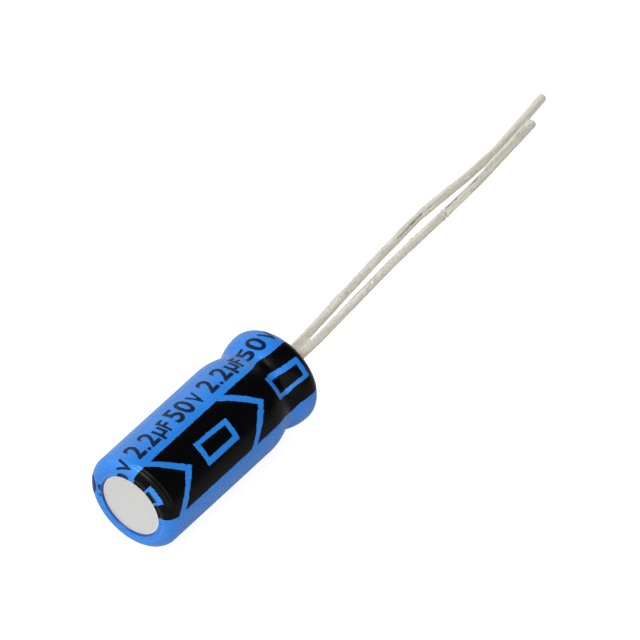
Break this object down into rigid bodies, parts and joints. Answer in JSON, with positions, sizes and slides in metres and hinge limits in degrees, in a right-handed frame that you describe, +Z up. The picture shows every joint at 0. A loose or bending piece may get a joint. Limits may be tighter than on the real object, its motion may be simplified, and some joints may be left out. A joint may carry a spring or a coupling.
{
  "type": "aluminium electrolytic capacitor",
  "caption": "Radial electrolytic capacitor: a sleeved, grooved aluminium can with a rubber seal and long tinned wire leads, bent as they came.",
  "frame": {"origin": "on the can's axis, in the plane of the body's lead end (the seating plane)", "axes": "+X along the can's axis, out of the seal in the direction of the leads; +Z up as the part lies on its side; the closed end of the can points to -X"},
  "size_m": [0.0367, 0.0057, 0.0052],
  "materials": {
    "sleeve_film": "semi-gloss blue shrink film",
    "print_ink": "semi-gloss black ink",
    "can_metal": "drawn, matt",
    "seal_rubber": "matt",
    "wound_paper": "foil and paper edge",
    "tape": "satin film",
    "tab_metal": "satin",
    "tinned_wire": "matt tin"
  },
  "bodies": {
    "root": {"sleeve": "sleeve_film", "polarity_print": "print_ink", "can": "can_metal", "seal": "seal_rubber", "winding": "wound_paper", "winding_tape": "tape", "anode_tab": "tab_metal", "cathode_tab": "tab_metal", "anode_lead": "tinned_wire", "cathode_lead": "tinned_wire"}
  },
  "joints": []
}
